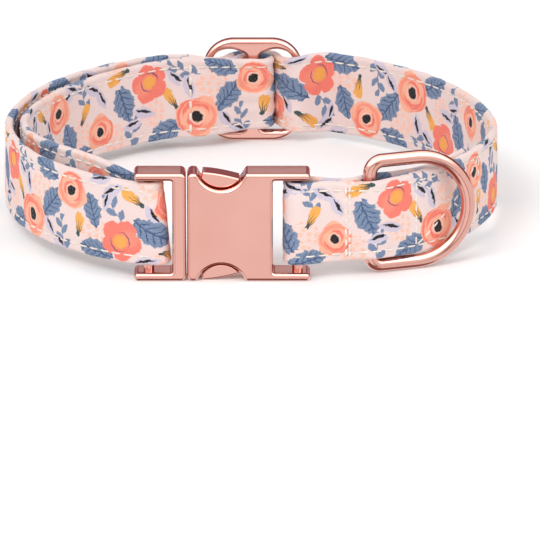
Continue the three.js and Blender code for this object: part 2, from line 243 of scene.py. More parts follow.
class Strap:
    """The strap's centreline at even steps, with the frame of its section at each step."""

    def __init__(self, step=1.0):
        rows = [(*point, index) for index, (_, run) in enumerate(ROUTE) for point in run]
        line = smooth_line(np.array(rows, float))
        steps = np.linalg.norm(np.diff(line[:, :2], axis=0), axis=1)
        lengths = np.concatenate([[0], np.cumsum(steps)])
        self.length = lengths[-1]
        self.s = np.linspace(0, self.length, round(self.length / step) + 1)
        x, y, lift, self.pinch, self.run = (np.interp(self.s, lengths, line[:, k]) for k in range(5))
        height = STRAP_Z_FRONT + (STRAP_Z_BACK - STRAP_Z_FRONT) * (y - BAR_Y) / (SLIDER_Y - BAR_Y)
        self.centre = np.column_stack([x, y, height + lift])
        along = np.gradient(self.centre[:, :2], self.s, axis=0)
        along /= np.linalg.norm(along, axis=1)[:, None]
        self.across = np.column_stack([-along[:, 1], along[:, 0], np.zeros(len(x))])
        near_fold = np.exp(-((self.run - self.index("plug_fold")) / PLUG_FOLD["runs"]) ** 4)
        past_fade = (x - PLUG["bar"] + PLUG_FOLD["fade"]) / PLUG_FOLD["fade_over"]
        self.skew = near_fold * np.clip(past_fade, 0, 1)

    def index(self, run):
        return [name for name, _ in ROUTE].index(run)

    def at(self, s, u, v):
        """The points at lengths s, u out of the strap's middle plane and v up its width."""
        s, u, v = np.broadcast_arrays(*(np.asarray(a, float) for a in (s, u, v)))

        def pick(values):
            return np.interp(s, self.s, values)

        centre = np.stack([pick(self.centre[:, k]) for k in range(3)], -1)
        across = np.stack([pick(self.across[:, k]) for k in range(3)], -1)
        across /= np.linalg.norm(across, axis=-1)[..., None]
        points = centre + across * u[..., None]
        points[..., 2] += v * pick(self.pinch)
        points[..., 0] -= PLUG_FOLD["skew"] * pick(self.skew) * v / HALF
        return points

    def s_near(self, run, x, front=True):
        """The length along the strap where a run of the route passes x, at the front or the back."""
        half = (self.centre[:, 1] < RING_CENTRE_Y) == front
        on_run = np.where((np.abs(self.run - self.index(run)) < 0.5) & half)[0]
        return self.s[on_run[np.argmin(np.abs(self.centre[on_run, 0] - x))]]


strap = Strap()


def cloth_waves(s, p, waves):
    """Smooth random waves over the cloth, at every s and p given in millimetres."""
    height, scale, seed = waves
    values = [noise.noise(Vector((a * scale, b * scale, seed))) for a, b in zip(s.ravel(), p.ravel())]
    return height * np.array(values).reshape(s.shape)


def section_points(across_steps=25, edge_steps=5):
    """The strap's section once round: side (+1 outer, -1 inner, 0 edge), u, v, and length round p."""
    face = np.linspace(-EDGE_CENTRE, EDGE_CENTRE, across_steps)
    turn = np.linspace(-math.pi / 2, math.pi / 2, edge_steps + 2)[1:-1]
    edge = THICK * math.pi
    rows = [(1, THICK, v, v) for v in face]
    rows += [
        (0, -THICK * math.sin(a), EDGE_CENTRE + THICK * math.cos(a),
         EDGE_CENTRE + (a / math.pi + 0.5) * edge)
        for a in turn
    ]
    rows += [(-1, -THICK, v, 2 * EDGE_CENTRE + edge - v) for v in face[::-1]]
    rows += [
        (0, THICK * math.sin(a), -EDGE_CENTRE - THICK * math.cos(a),
         3 * EDGE_CENTRE + edge + (a / math.pi + 0.5) * edge)
        for a in turn
    ]
    return np.array(rows), 4 * EDGE_CENTRE + 2 * edge


SECTION, ROUND_LENGTH = section_points()
TILE_P = ROUND_LENGTH / 2  # the print repeats once on each face, and twice round the strap


def relief(s, side, v, p):
    """How far the cloth stands above the plain section: sewn grooves, puckers, soft waves."""
    from_seam = np.abs(v) - STITCH_V
    groove = -SEAM_GROOVE["depth"] * np.exp(-((from_seam / SEAM_GROOVE["width"]) ** 2))
    swell = np.sin(2 * math.pi * s / STITCH_PITCH + SEAM_PUCKER["side_shift"] * side)
    pucker = SEAM_PUCKER["height"] * swell * np.exp(-((from_seam / SEAM_PUCKER["width"]) ** 2))
    soft = sum(cloth_waves(s, p, waves) for waves in FACE_WAVES)
    crown = CROWN * (1 - (v / HALF) ** 2)
    return groove + pucker + soft + crown


# ---- Mesh helpers ----

def add_object(name, data):
    obj = bpy.data.objects.new(name, data)
    bpy.context.collection.objects.link(obj)
    return obj


def new_object(name, points, faces):
    """A smooth-shaded object from points in millimetres."""
    mesh = bpy.data.meshes.new(name)
    mesh.from_pydata([tuple(p) for p in place(points)], [], [tuple(map(int, f)) for f in faces])
    mesh.polygons.foreach_set("use_smooth", [True] * len(mesh.polygons))
    mesh.update()
    return add_object(name, mesh)


def grid_faces(rows, sides, closed_rows=False):
    """Quads of a tube of rows by sides points, each face turned outwards."""
    spans = rows if closed_rows else rows - 1
    i, j = np.meshgrid(np.arange(spans), np.arange(sides), indexing="ij")
    here, ahead = i * sides, ((i + 1) % rows) * sides
    turn = (j + 1) % sides
    return np.stack([here + j, here + turn, ahead + turn, ahead + j], -1).reshape(-1, 4)


def smooth_by_angle(obj, degrees=40):
    obj.data.shade_smooth()
    obj.data.set_sharp_from_angle(angle=math.radians(degrees))
    normals = obj.modifiers.new("even_normals", "WEIGHTED_NORMAL")
    normals.keep_sharp = True


def finish_piece(obj, body, slot, material, *replaced):
    """A piece's material, the body it rides on and the CAD nodes it stands for."""
    obj.data.materials.clear()
    obj.data.materials.append(material)
    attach(obj, body)
    if replaced:
        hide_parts(*replaced)
    return obj


# ---- Shader arithmetic ----

class Num:
    """A number inside a shader, with ordinary arithmetic."""

    tree = None

    def __init__(self, socket):
        self.socket = socket

    def __add__(self, other):
        return calc("ADD", self, other)

    def __sub__(self, other):
        return calc("SUBTRACT", self, other)

    def __rsub__(self, other):
        return calc("SUBTRACT", other, self)

    def __mul__(self, other):
        return calc("MULTIPLY", self, other)

    def __truediv__(self, other):
        return calc("DIVIDE", self, other)

    def __neg__(self):
        return calc("MULTIPLY", self, -1.0)

    __radd__ = __add__
    __rmul__ = __mul__


def new_node(kind):
    return Num.tree.nodes.new("ShaderNode" + kind)


def link(output, entry):
    Num.tree.links.new(output, entry)


def calc(operation, *values):
    """One Math node in the current tree, fed with numbers or other nodes."""
    node = new_node("Math")
    node.operation = operation
    for entry, value in zip(node.inputs, values):
        if isinstance(value, Num):
            link(value.socket, entry)
        else:
            entry.default_value = value
    return Num(node.outputs[0])


def absolute(a):
    return calc("ABSOLUTE", a)


def sine(a):
    return calc("SINE", a)


def cosine(a):
    return calc("COSINE", a)


def power(a, b):
    return calc("POWER", a, b)


def smallest(a, b):
    return calc("MINIMUM", a, b)


def largest(a, b):
    return calc("MAXIMUM", a, b)


def length(x, y):
    return calc("SQRT", x * x + y * y)


def direction(x, y):
    return calc("ARCTAN2", y, x)


def clamp01(a):
    return largest(smallest(a, 1.0), 0.0)


def inside(distance, soft=0.13):
    """1 where a signed distance in millimetres is below 0, 0 above, with a soft edge."""
    return clamp01(0.5 - distance / (2 * soft))


def turned(x, y, degrees, x0, y0):
    """x and y seen from a point, along axes turned by some degrees."""
    c = math.cos(math.radians(degrees))
    s = math.sin(math.radians(degrees))
    dx = x - x0
    dy = y - y0
    return dx * c + dy * s, dy * c - dx * s


def linear(rgb):
    """An sRGB colour of 0 to 255 as Blender's linear colour."""
    share = [c / 255 for c in rgb]
    return [c / 12.92 if c < 0.04045 else ((c + 0.055) / 1.055) ** 2.4 for c in share] + [1.0]


def paint(base, colour, mask):
    """base covered with a colour where mask is 1. Each colour is a socket or sRGB numbers."""
    node = new_node("Mix")
    node.data_type = "RGBA"
    link(mask.socket, node.inputs["Factor"])
    for entry, value in ((node.inputs[6], base), (node.inputs[7], colour)):
        if isinstance(value, bpy.types.NodeSocket):
            link(value, entry)
        else:
            entry.default_value = linear(value)
    return node.outputs[2]


def uv_pair(name):
    """A UV map as a vector, and its two numbers."""
    node = new_node("UVMap")
    node.uv_map = name
    split = new_node("SeparateXYZ")
    link(node.outputs[0], split.inputs[0])
    return node.outputs[0], Num(split.outputs[0]), Num(split.outputs[1])


def face_value(name):
    node = new_node("Attribute")
    node.attribute_name = name
    return Num(node.outputs["Fac"])


def noise_value(vector, scale, detail=2.0):
    """Noise about 0."""
    node = new_node("TexNoise")
    node.inputs["Scale"].default_value = scale
    node.inputs["Detail"].default_value = detail
    link(vector, node.inputs["Vector"])
    return Num(node.outputs["Fac"]) - 0.5


# ---- The print: a generic scatter of flowers, leaves, buds and berries ----

PINK = (235, 214, 210)
PINK_SHADE = (230, 206, 202)
PEACH = (246, 178, 150)
PALE_PEACH = (246, 194, 174)
CORAL = (240, 124, 108)
SALMON = (246, 150, 126)
GOLD = (240, 166, 80)
MUSTARD = (238, 170, 84)
PINE = (52, 76, 76)
SLATE = (114, 133, 162)
SLATE_LIGHT = (140, 156, 180)
NAVY = (66, 88, 124)
LAVENDER = (206, 196, 212)
INK = (18, 18, 24)
PLUM = (112, 78, 96)
# Painted light on the raised yarns and painted shade in the low ones, following the cloth's bump.
YARN_PAINTED_LIGHT = (255, 250, 248)
YARN_PAINTED_SHADE = (110, 84, 84)
YARN_SPACING = 0.42
WOBBLE = 1.3  # how far the brush strays, in millimetres

# Kinds of motif in each layer, numbered from 1 in this order.
LAYERS = {
    "flowers": ["rose", "blossom"],
    "leaves": ["leaf", "bud"],
    "petals": ["petal"],
    "sprays": ["sprig", "berries"],
}
# How far each kind reaches from its middle at size 1, in millimetres.
REACH = {
    "rose": 7.0, "blossom": 7.4, "leaf": 5.6, "bud": 5.0, "petal": 4.2, "sprig": 6.2, "berries": 6.6,
}
TILE_S = 104.0
# One repeat of the print: along the strap, up its width, turn in degrees, size.
CHART = {
    "rose": [
        (7, 5.5, 0, 1.0), (40, 6, 140, 0.92), (58, -5.5, 60, 1.05), (91, -5, 250, 0.85),
    ],
    "blossom": [
        (23, -6, 20, 1.0), (73, 6.5, 190, 0.95),
    ],
    "leaf": [
        (14, -2.5, 215, 1.3), (0.5, -4.2, 65, 1.2), (31, -10.2, 10, 1.25), (48.5, 0.5, 130, 1.3),
        (67.5, -9.5, -25, 1.3), (50.5, 10.2, 20, 1.15), (82, 2.0, 250, 1.3), (99, -11.0, 165, 1.15),
        (32.2, 1.8, 75, 1.1),
    ],
    "bud": [
        (19, 7.5, 35, 0.95), (37, -3.2, 100, 0.9), (66, 0.5, 60, 0.9), (84, 10.2, -20, 1.0),
        (9.5, -9.5, 200, 0.9), (97.5, 2.0, 120, 0.85),
    ],
    "petal": [
        (25.5, 8.5, -35, 1.15), (29.5, 11.5, -10, 1.1), (27.0, 5.5, -70, 0.95),
        (45.5, -10.5, 30, 1.05), (49.5, -7.0, 55, 1.1), (60.5, 4.0, 75, 1.1), (64.5, 6.5, 40, 1.05),
        (75.0, -2.5, 15, 1.15), (78.5, -5.5, -15, 1.05), (90.5, 5.0, 60, 1.05),
        (94.0, 8.5, 30, 1.1), (16.0, -11.5, -15, 1.0), (13.5, 2.6, 70, 0.95), (103, 10.8, 20, 1.05),
        (1.0, 8.8, -25, 1.0),
    ],
    "sprig": [
        (25, 3.5, 60, 1.0), (44, -8, 80, 1.0), (62, 8.8, 20, 0.95), (79, -8, 100, 1.0),
        (98, 6.8, 75, 0.9),
    ],
    "berries": [
        (32.5, -4, 0, 0.95), (53.5, 4, 0, 0.9), (84.5, -9.5, 0, 0.95), (12.5, 12, 0, 0.9),
        (72.5, -3, 0, 0.8), (100, -3.5, 0, 0.8), (5.5, -7, 0, 0.8),
    ],
}


def is_kind(kind_value, number):
    return calc("COMPARE", kind_value, float(number), 0.4)


def rose(base, x, y, shown):
    """A round rose of brushed crescents, 12 mm across."""
    a = direction(x, y)
    r = length(x, y)
    edge = r + 0.45 * sine(3 * a + 1.0) + 0.25 * sine(5 * a) - 6.0
    base = paint(base, PEACH, inside(edge) * shown)
    # Brushed crescents: radius, where each is widest, half its width there, shift, colour.
    rings = (
        (5.0, 200, 0.85, 0.5, SALMON), (3.7, 25, 0.8, 0.4, CORAL), (4.4, 100, 0.5, -0.4, SALMON),
        (2.7, 255, 0.65, -0.3, CORAL), (5.4, 320, 0.45, 0.0, CORAL),
    )
    for radius, heading, width, shift, colour in rings:
        from_ring = absolute(length(x - shift, y + 0.5 * shift) - radius)
        swell = cosine(a - math.radians(heading)) * width
        base = paint(base, colour, inside(from_ring - swell) * inside(edge) * shown)
    base = paint(base, PALE_PEACH, inside(r - 2.2) * shown)
    return paint(base, INK, inside(length(x * 0.82, y) - 1.5) * shown)


def blossom(base, x, y, shown):
    """A flat flower with a golden eye."""
    a = direction(x, y)
    r = length(x, y)
    petals = 4.7 + 1.6 * power(absolute(sine(2.5 * a + 0.4)), 0.6) + 0.5 * sine(a)
    base = paint(base, CORAL, inside(r - petals) * shown)
    light = inside(length(x + 2.2, y - 2.0) - 2.6, 0.8) * inside(r - petals)
    base = paint(base, SALMON, 0.55 * light * shown)
    base = paint(base, GOLD, inside(r - 2.1, 0.35) * shown)
    for heading in (130, 290):
        arc = absolute(r - 2.9) - 0.30 * cosine(a - math.radians(heading)) + 0.12
        base = paint(base, PLUM, inside(arc, 0.08) * shown)
    return base


def leaf(base, x, y, shown):
    """A leaf with a midrib and slanting veins, 10 mm long."""
    t = x / 5.0
    width = 2.75 * (1 - t * t) * (1 + 0.16 * t) + 0.2 * sine(3.1 * x + 0.8) + 0.08 * sine(9.0 * x)
    shape = inside(absolute(y) - width) * inside(absolute(x) - 5.0)
    base = paint(base, SLATE, shape * shown)
    strokes = sine(7.0 * (y + 0.55 * x)) * 0.5 + 0.1
    base = paint(base, SLATE_LIGHT, clamp01(strokes) * 0.6 * shape * shown)
    ribs = calc("PINGPONG", x - 0.9 * absolute(y), 0.75)
    veins = largest(inside(ribs - 0.17, 0.09) * inside(absolute(y) - 0.75 * width, 0.3),
                    inside(absolute(y) - 0.2, 0.09))
    return paint(base, NAVY, veins * shape * shown)


def bud(base, x, y, shown):
    """A golden bud with fanned dark strokes."""
    t = clamp01((x + 4.0) / 8.0)
    width = 2.3 * power(t, 0.65) * (1.0 - 0.55 * power(t, 5.0)) + 0.2 * sine(2.5 * y)
    shape = inside(absolute(y) - width) * inside(absolute(x) - 4.0)
    base = paint(base, MUSTARD, shape * shown)
    a = direction(x + 4.3, y)
    r = length(x + 4.3, y)
    for heading, reach in ((-0.3, 4.6), (-0.08, 5.6), (0.14, 5.2), (0.36, 4.2)):
        stroke = absolute(a - heading) * r - 0.20 * clamp01(1.2 - r / reach)
        base = paint(base, PINE, inside(stroke, 0.08) * inside(r - reach, 0.3) * shown)
    return paint(base, PINE, inside(length(x + 3.7, y * 1.2) - 0.85) * shown)


def petal(base, x, y, shown):
    """A pale petal with a dark stroke along it."""
    width = 1.5 * (1 - (x / 3.7) * (x / 3.7))
    base = paint(base, LAVENDER, inside(absolute(y) - width) * inside(absolute(x) - 3.7) * shown)
    stroke = absolute(y - 0.4) - 0.46 * (1 - (x / 2.5) * (x / 2.5))
    return paint(base, INK, inside(stroke, 0.1) * inside(absolute(x) - 2.5) * shown)


def sprig(base, x, y, shown):
    """A bent stem with five small leaves."""
    bend = y - 0.035 * x * x
    stem = inside(absolute(bend) - 0.16, 0.09) * inside(absolute(x) - 5.2)
    base = paint(base, SLATE, stem * shown)
    for x0, side in ((-3.6, 1), (-1.6, -1), (0.6, 1), (2.4, -1), (4.8, 0)):
        lx, ly = turned(x, bend, 42 * side, x0 + 1.0, 1.25 * side)
        blade = absolute(ly) - 0.95 * (1 - (lx / 2.0) * (lx / 2.0))
        base = paint(base, SLATE, inside(blade) * inside(absolute(lx) - 2.0) * shown)
    return base


def berries(base, x, y, shown):
    """A pale spray of dots and wavy twigs."""
    node = new_node("TexVoronoi")
    node.voronoi_dimensions = "2D"
    node.inputs["Scale"].default_value = 1.0
    node.inputs["Randomness"].default_value = 0.55
    joined = new_node("CombineXYZ")
    link((x / 2.5).socket, joined.inputs[0])
    link((y / 2.5).socket, joined.inputs[1])
    link(joined.outputs[0], node.inputs["Vector"])
    spread = inside(length(x, y) - 5.6, 0.3)
    dots = inside(Num(node.outputs["Distance"]) * 2.5 - 0.8, 0.12)
    twig = absolute(calc("PINGPONG", y + 0.6 * sine(x * 0.9) + 9.0, 1.25) - 0.6)
    base = paint(base, PALE_PEACH, inside(twig - 0.12, 0.09) * spread * shown)
    return paint(base, PALE_PEACH, dots * spread * shown)


MOTIFS = {
    "rose": rose, "blossom": blossom, "leaf": leaf, "bud": bud, "petal": petal, "sprig": sprig,
    "berries": berries,
}


def start_material(name):
    material = bpy.data.materials.new(name)
    material.use_nodes = True
    Num.tree = material.node_tree
    return material, material.node_tree.nodes["Principled BSDF"]


def add_bump(shader, height, distance):
    """Relief of the surface, distance metres deep."""
    bump = new_node("Bump")
    bump.inputs["Distance"].default_value = distance
    bump.inputs["Strength"].default_value = 1.0
    link(height.socket, bump.inputs["Height"])
    link(bump.outputs[0], shader.inputs["Normal"])


def cotton_material():
    material, shader = start_material("printed_cotton")
    vector, s, p = uv_pair("cloth")
    wobble_x = noise_value(vector, 0.55) * WOBBLE
    wobble_y = noise_value(vector, 0.62, 3.0) * WOBBLE
    blotch = noise_value(vector, 0.05)
    colour = paint(PINK, PINK_SHADE, clamp01(blotch * 2.0 + 0.35))
    for layer in ("sprays", "petals", "leaves", "flowers"):
        _, x, y = uv_pair(layer)
        x = x + wobble_x
        y = y + wobble_y
        kind_value = face_value(layer + "_kind")
        for number, kind in enumerate(LAYERS[layer], 1):
            colour = MOTIFS[kind](colour, x, y, is_kind(kind_value, number))
    # The cloth is painted lighter where the yarn relief of the bump below stands high and darker where
    # it lies low: painted light and painted shade on the yarns under the ink.
    yarn_relief = noise_value(vector, 3.2)
    colour = paint(colour, YARN_PAINTED_LIGHT, clamp01(yarn_relief * 0.5))
    colour = paint(colour, YARN_PAINTED_SHADE, clamp01(-yarn_relief * 0.42))
    link(colour, shader.inputs["Base Color"])
    shader.inputs["Roughness"].default_value = 0.85
    shader.inputs["Sheen Weight"].default_value = 0.06
    shader.inputs["Specular IOR Level"].default_value = 0.15
    warp = sine(s * (2 * math.pi / YARN_SPACING))
    weft = sine(p * (2 * math.pi / YARN_SPACING))
    add_bump(shader, warp * weft + yarn_relief * 2.0, 0.00003)
    return material


THREAD_LIGHT = (240, 230, 220)
THREAD_DARK = (206, 192, 182)
ROSE_GOLD = (228, 174, 162)
ROSE_GOLD_DARK = (217, 160, 147)
POLISHED = 0.15
POLISHED_EDGES = 0.09
SATIN_FACE = 0.2  # how much rougher a satin part's flat front is than its edges


def thread_material():
    material, shader = start_material("white_thread")
    coordinates = new_node("TexCoord").outputs["Object"]
    shade = noise_value(coordinates, 900.0)
    colour = paint(THREAD_LIGHT, THREAD_DARK, clamp01(shade * 1.5 + 0.3))
    link(colour, shader.inputs["Base Color"])
    shader.inputs["Roughness"].default_value = 0.7
    add_bump(shader, noise_value(coordinates, 2500.0), 0.00004)
    return material


def rose_gold_material(name, satin_front):
    material, shader = start_material(name)
    coordinates = new_node("TexCoord").outputs["Object"]
    tint = noise_value(coordinates, 60.0)
    colour = paint(ROSE_GOLD, ROSE_GOLD_DARK, clamp01(tint + 0.4))
    link(colour, shader.inputs["Base Color"])
    shader.inputs["Metallic"].default_value = 1.0
    roughness = (POLISHED_EDGES if satin_front else POLISHED) + 0.04 * noise_value(coordinates, 150.0)
    if satin_front:
        normal = new_node("NewGeometry").outputs["Normal"]
        split = new_node("SeparateXYZ")
        link(normal, split.inputs[0])
        flat_front = clamp01((-Num(split.outputs[1]) - 0.992) * 200)
        roughness = roughness + SATIN_FACE * flat_front
    link(roughness.socket, shader.inputs["Roughness"])
    add_bump(shader, noise_value(coordinates, 700.0, 3.0), 0.000008)
    return material


# ---- Strap and stitches ----

def build_strap():
    """The strap as one closed mesh, with the print's places at its face corners."""
    side, u, v, p = SECTION.T
    s_grid = np.repeat(strap.s[:, None], len(v), 1)
    side_grid, u_grid, v_grid, p_grid = (
        np.repeat(values[None, :], len(strap.s), 0) for values in (side, u, v, p)
    )
    raised = relief(s_grid, side_grid, v_grid, p_grid)
    bunch = (1 - strap.pinch)[:, None] * BUNCHING["height"]
    raised += np.where(side_grid != 0, bunch * np.cos(v_grid * BUNCHING["waves"]), 0)
    u_grid = u_grid + np.sign(u_grid) * np.where(side_grid != 0, raised - FACE_SINK, 0)
    waver = cloth_waves(s_grid[:, :1], np.zeros((len(strap.s), 1)), EDGE_WAVES)
    v_grid = v_grid + waver + cloth_waves(s_grid, p_grid, WIDTH_WAVES)
    points = strap.at(s_grid, u_grid, v_grid).reshape(-1, 3)
    rows, sides = s_grid.shape
    faces = grid_faces(rows, sides)
    ends = [list(range(sides))[::-1], [(rows - 1) * sides + k for k in range(sides)]]
    obj = new_object("strap_cloth", points, [*faces.tolist(), *ends])
    s_of = s_grid.ravel()[faces]
    p_of = p_grid.ravel()[faces]
    seam = faces[:, 0] % sides == sides - 1
    p_of[seam, 1:3] += ROUND_LENGTH
    # The two end caps' corners come after the quads'.
    cap_s = np.concatenate([np.zeros(sides), np.full(sides, strap.length)])
    cap_p = np.concatenate([p[::-1], p])
    corner_s = np.concatenate([s_of.ravel(), cap_s])
    corner_p = np.concatenate([p_of.ravel(), cap_p])
    mesh = obj.data
    uv = np.stack([corner_s, corner_p], -1)
    mesh.uv_layers.new(name="cloth").data.foreach_set("uv", uv.ravel())
    lay_strap_motifs(mesh, s_of, p_of, 2 * sides)
    lay_bake_map(mesh, s_of, p_of, u, v)
    return obj


def lay_bake_map(mesh, s_of, p_of, u, v):
    """A second flat layout, without overlaps: the strap cut into strips, laid one above the other."""
    strips = 5
    gap = 2.0
    strip_length = strap.length / strips
    strip_height = ROUND_LENGTH + 2 * gap
    side = strips * strip_height
    strip = np.minimum(s_of.mean(1) // strip_length, strips - 1)[:, None]
    x = (s_of - strip * strip_length + gap) / side
    y = (strip * strip_height + p_of + EDGE_CENTRE + gap) / side
    quads = np.stack([x, y], -1).reshape(-1, 2)
    ends = []
    for place_x, order in ((0.9, slice(None, None, -1)), (0.95, slice(None))):
        ends.append(np.stack([place_x + u[order] / side, 0.5 + v[order] / side], -1))
    corners = np.concatenate([quads, *ends])
    mesh.uv_layers.new(name="OFBake").data.foreach_set("uv", corners.ravel())


def lay_strap_motifs(mesh, s_of, p_of, cap_corners):
    """Gives every face its nearest motif of each layer, and its corners their places in it."""
    face_s = s_of.mean(1)
    face_p = p_of.mean(1)
    for layer, kinds in LAYERS.items():
        best = np.full(len(s_of), 1.0)
        kind_of = np.zeros(len(s_of))
        local = np.zeros((*s_of.shape, 2))
        for kind, at_s, at_p, turn, size in ((k, *spot) for k in kinds for spot in CHART[k]):
            wrap_s = np.round((face_s - at_s) / TILE_S) * TILE_S + at_s
            wrap_p = np.round((face_p - at_p) / TILE_P) * TILE_P + at_p
            near = np.hypot(face_s - wrap_s, face_p - wrap_p) / (REACH[kind] * size)
            take = near < best
            c = math.cos(math.radians(turn))
            d = math.sin(math.radians(turn))
            ds = (s_of - wrap_s[:, None]) / size
            dp = (p_of - wrap_p[:, None]) / size
            local[take] = np.stack([ds * c + dp * d, dp * c - ds * d], -1)[take]
            best[take] = near[take]
            kind_of[take] = kinds.index(kind) + 1
        corners = np.concatenate([local.reshape(-1, 2), np.zeros((cap_corners, 2))])
        kinds_all = np.concatenate([kind_of, [0, 0]])
        mesh.uv_layers.new(name=layer).data.foreach_set("uv", corners.ravel())
        mesh.attributes.new(layer + "_kind", "FLOAT", "FACE").data.foreach_set("value", kinds_all)


class Threads:
    """Collects stitches, each a short tube that dips into the cloth at both ends."""

    SIDES = 6
    # Along a stitch: share of its length, of its thickness, and how deep it dips, in radii.
    SHARE = np.array([0, 0.08, 0.3, 0.5, 0.7, 0.92, 1])
    FATNESS = np.array([0.35, 0.85, 1, 1, 1, 0.85, 0.35])
    SINK = np.array([1.5, 0.8, 0.05, 0, 0.05, 0.8, 1.5])

    def __init__(self):
        self.points = []
        self.faces = []
        self.count = 0

    def add(self, start, stop, outward, radius):
        fat = self.FATNESS * radius
        sink = self.SINK * radius
        along = (stop - start) / np.linalg.norm(stop - start)
        sideways = np.cross(outward, along)
        centres = start + self.SHARE[:, None] * (stop - start) - sink[:, None] * outward
        angles = np.linspace(0, 2 * math.pi, self.SIDES, endpoint=False)
        ring = np.cos(angles)[:, None] * sideways + np.sin(angles)[:, None] * outward
        points = centres[:, None] + fat[:, None, None] * ring[None]
        rings = len(self.SHARE)
        faces = grid_faces(rings, self.SIDES) + self.count
        self.points.append(points.reshape(-1, 3))
        self.faces += faces.tolist()
        first = [self.count + k for k in range(self.SIDES)]
        last = [self.count + (rings - 1) * self.SIDES + k for k in range(self.SIDES)]
        self.faces += [first[::-1], last]
        self.count += rings * self.SIDES

    def row(self, line, side, radius, pitch, stitch):
        """Even stitches along a line of (s, v) corners on one face of the strap."""
        corners = np.array(line, float)
        spans = np.linalg.norm(np.diff(corners, axis=0), axis=1)
        legs = np.concatenate([[0], np.cumsum(spans)])
        count = max(int(legs[-1] / pitch), 1)
        for middle in (np.arange(count) + 0.5) * legs[-1] / count:
            ends = []
            for reach in (-stitch / 2, stitch / 2):
                s = np.interp(middle + reach, legs, corners[:, 0])
                v = np.interp(middle + reach, legs, corners[:, 1])
                in_groove = abs(abs(v) - STITCH_V) < 0.3
                height = THICK - (STITCH_SINK if in_groove else -STITCH_PROUD)
                ends.append(strap.at(s, side * height, v))
            s_mid = np.interp(middle, legs, corners[:, 0])
            outward = side * np.array([np.interp(s_mid, strap.s, strap.across[:, k]) for k in range(3)])
            outward /= np.linalg.norm(outward)
            self.add(ends[0], ends[1], outward, radius)

    def build(self, name):
        return new_object(name, np.concatenate(self.points), self.faces)


def build_stitches():
    """Edge rows, the tacks at the sewn end and by the buckle, and the crossed box."""
    threads = Threads()
    for side in (1, -1):
        for v in (STITCH_V, -STITCH_V):
            line = [(ROW_MARGIN, v), (strap.length - ROW_MARGIN, v)]
            threads.row(line, side, THREAD_RADIUS, STITCH_PITCH, STITCH_LENGTH)
    tall = HALF - TACK_MARGIN
    for run in ("inner", "sewn_end"):
        for side in (1, -1):
            tack = strap.s_near(run, SEWN_TACK["x"], front=False)
            line = [(tack, -tall), (tack, tall)]
            threads.row(line, side, SEWN_TACK["radius"], SEWN_TACK["pitch"], SEWN_TACK["stitch"])
    for run in ("right", "folded"):
        for side in (1, -1):
            tack = strap.s_near(run, RING_TACK["x"])
            for lower, upper, pitch, stitch in RING_TACK_ROWS:
                line = [(tack + lower, -tall), (tack + upper, tall)]
                threads.row(line, side, RING_TACK["radius"], pitch, stitch)
    outer = (strap.s_near("right", BOX["front"]), strap.s_near("right", BOX["back"]))
    folded = (strap.s_near("folded", BOX["folded_front"]), strap.length - BOX["end_margin"])
    v = STITCH_V
    for (front, back), side in ((outer, 1), (folded, -1), (outer, -1)):
        for line in (
            [(front, -v), (front, v)],
            [(back, -v), (back, v)],
            [(front, -v), (back, v)],
            [(front, v), (back, -v)],
        ):
            threads.row(line, side, THREAD_RADIUS, BOX_STITCH["pitch"], BOX_STITCH["length"])
    return threads.build("stitches")


# ---- Metal ----

def corner_path(corners, steps=8):
    """Points round a closed outline of (x, z, radius) corners, each turned as an arc."""
    corners = [np.array(c, float) for c in corners]
    points = []
    for before, here, after in zip(corners[-1:] + corners[:-1], corners, corners[1:] + corners[:1]):
        back = before[:2] - here[:2]
        ahead = after[:2] - here[:2]
        back /= np.linalg.norm(back)
        ahead /= np.linalg.norm(ahead)
        half = math.acos(np.clip(back @ ahead, -1, 1)) / 2
        radius = here[2]
        tangent = radius / math.tan(half)
        if radius <= 0:
            points.append(here[:2])
            continue
        centre = here[:2] + (back + ahead) / np.linalg.norm(back + ahead) * radius / math.sin(half)
        start = here[:2] + back * tangent - centre
        stop = here[:2] + ahead * tangent - centre
        a0 = math.atan2(start[1], start[0])
        sweep = (math.atan2(stop[1], stop[0]) - a0 + math.pi) % (2 * math.pi) - math.pi
        for a in np.linspace(a0, a0 + sweep, steps):
            points.append(centre + radius * np.array([math.cos(a), math.sin(a)]))
    return np.array(points)


def plate(name, outlines, front_y, depth, bevel, rounds=4):
    """A plate with rounded edges: closed outlines in X and Z, the first the outside."""
    curve = bpy.data.curves.new(name, "CURVE")
    curve.dimensions = "2D"
    curve.fill_mode = "BOTH"
    curve.extrude = depth / 2 - bevel
    curve.bevel_depth = bevel
    curve.bevel_resolution = rounds
    curve.offset = -bevel
    for outline in outlines:
        spline = curve.splines.new("POLY")
        spline.points.add(len(outline) - 1)
        for point, (x, z) in zip(spline.points, outline):
            point.co = (x, z, 0, 1)
        spline.use_cyclic_u = True
    holder = add_object(name, curve)
    graph = bpy.context.evaluated_depsgraph_get()
    mesh = bpy.data.meshes.new_from_object(holder.evaluated_get(graph))
    bpy.data.objects.remove(holder)
    bpy.data.curves.remove(curve)
    flat = np.array([v.co for v in mesh.vertices])
    points = np.column_stack([flat[:, 0], front_y + depth / 2 - flat[:, 2], flat[:, 1]])
    faces = [list(f.vertices) for f in mesh.polygons]
    bpy.data.meshes.remove(mesh)
    obj = new_object(name, points, faces)
    merge_doubles(obj)
    return obj


def merge_doubles(obj):
    """Joins points that lie together, and turns the faces outwards."""
    work = bmesh.new()
    work.from_mesh(obj.data)
    bmesh.ops.remove_doubles(work, verts=work.verts, dist=1e-6)
    bmesh.ops.recalc_face_normals(work, faces=work.faces)
    work.to_mesh(obj.data)
    work.free()


